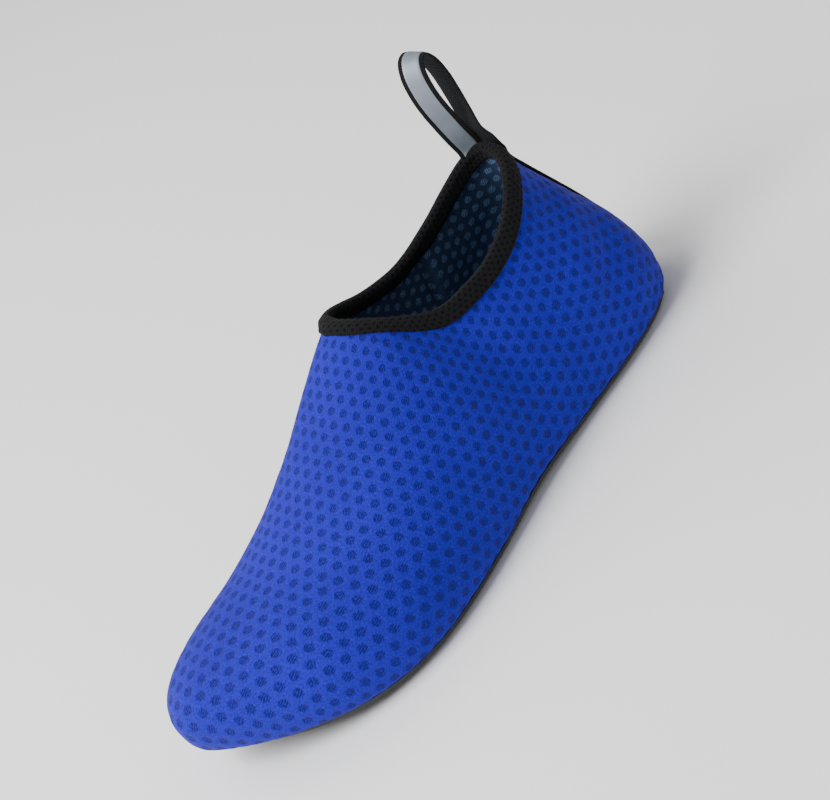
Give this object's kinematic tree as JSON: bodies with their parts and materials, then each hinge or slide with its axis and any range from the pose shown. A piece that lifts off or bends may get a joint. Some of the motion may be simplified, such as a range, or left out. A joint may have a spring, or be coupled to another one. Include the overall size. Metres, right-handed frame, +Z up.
{
  "type": "water shoe",
  "caption": "Slip-on water shoe for the left foot: knitted shell upper on a thin studded rubber sole, elastic collar binding and a webbing pull loop at the heel.",
  "frame": {"origin": "middle of the shoe's box on the floor that it stands on", "axes": "+Y from the heel to the toe, +X to the inner side of the foot, +Z up"},
  "size_m": [0.0906, 0.2512, 0.128],
  "materials": {
    "blue_knit": "matt royal blue knit with small darker dots",
    "black_elastic": "matt black knitted elastic",
    "black_webbing": "black webbing with a pale grey reflective stripe",
    "black_rubber": "satin black rubber",
    "navy_foam": "matt dark navy fabric over foam"
  },
  "bodies": {
    "root": {"upper": "blue_knit", "collar_binding": "black_elastic", "pull_tape": "black_webbing", "outsole": "black_rubber", "insole": "navy_foam"}
  },
  "joints": []
}
